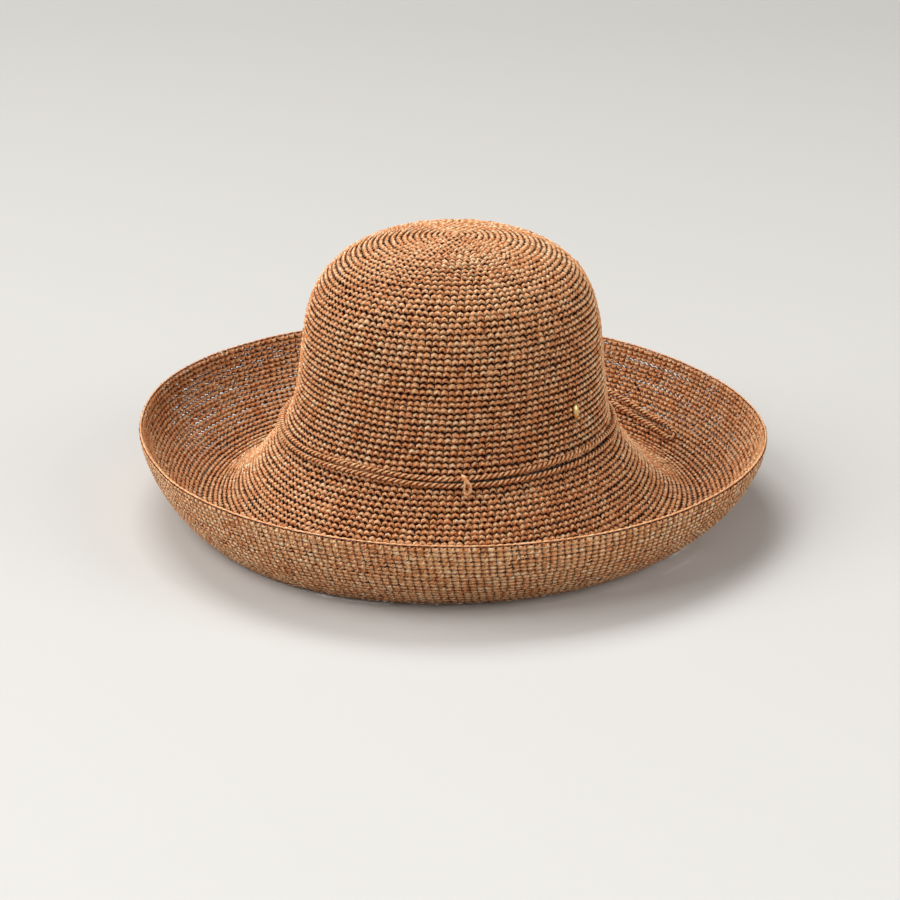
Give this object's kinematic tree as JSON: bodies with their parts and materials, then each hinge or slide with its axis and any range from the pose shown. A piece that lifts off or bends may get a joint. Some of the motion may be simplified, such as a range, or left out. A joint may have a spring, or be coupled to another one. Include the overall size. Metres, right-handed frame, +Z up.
{
  "type": "straw hat",
  "caption": "Crocheted raffia sun hat with a round crown, a wide brim rolled up at the rim, and a twisted cord wound round the crown with a loose loop at the back.",
  "frame": {"origin": "on the surface that the hat rests on, under the middle of the brim", "axes": "+Z up through the crown, -Y towards the front of the hat, +X to the right as seen from the front"},
  "size_m": [0.3574, 0.3625, 0.1572],
  "materials": {
    "raffia": "crocheted raffia straw, matt with a faint sheen along each strand",
    "raffia_cord": "two-strand twisted raffia cord, matt",
    "gold_metal": "polished pale gold"
  },
  "bodies": {
    "root": {"crown": "raffia", "brim_inner": "raffia", "brim_outer": "raffia", "cord_lower": "raffia_cord", "cord_upper": "raffia_cord", "front_wrap": "raffia_cord", "rear_tie": "raffia_cord", "cord_loop": "raffia_cord", "side_stud": "gold_metal"}
  },
  "joints": []
}
